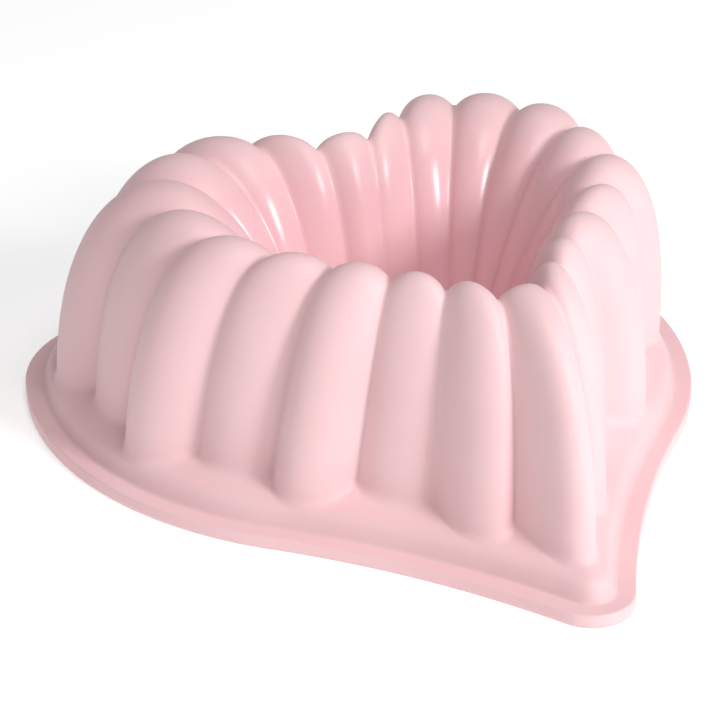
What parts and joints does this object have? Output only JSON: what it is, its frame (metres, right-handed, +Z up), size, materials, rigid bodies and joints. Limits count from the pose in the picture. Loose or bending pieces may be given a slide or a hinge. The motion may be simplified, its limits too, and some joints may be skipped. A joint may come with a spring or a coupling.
{
  "type": "fluted heart casting mould",
  "caption": "Heart-shaped fluted ring mould in soft silicone, open underneath, with a centre tube and a wire hoop moulded into its flat rim.",
  "frame": {"origin": "on the plane the rim rests on, under the middle of the bounding box", "axes": "+Z up from the rim to the crown, -Y towards the heart's tip, +Y towards its cleft, X = 0 is the mirror plane"},
  "size_m": [0.25, 0.2654, 0.095],
  "materials": {
    "silicone": "moulded silicone, matt fine grain outside, smoother and glossier in the centre hole",
    "steel_wire": "drawn stainless wire, hidden inside the rim"
  },
  "bodies": {
    "root": {"mould_shell": "silicone", "rim_wire": "steel_wire"}
  },
  "joints": []
}
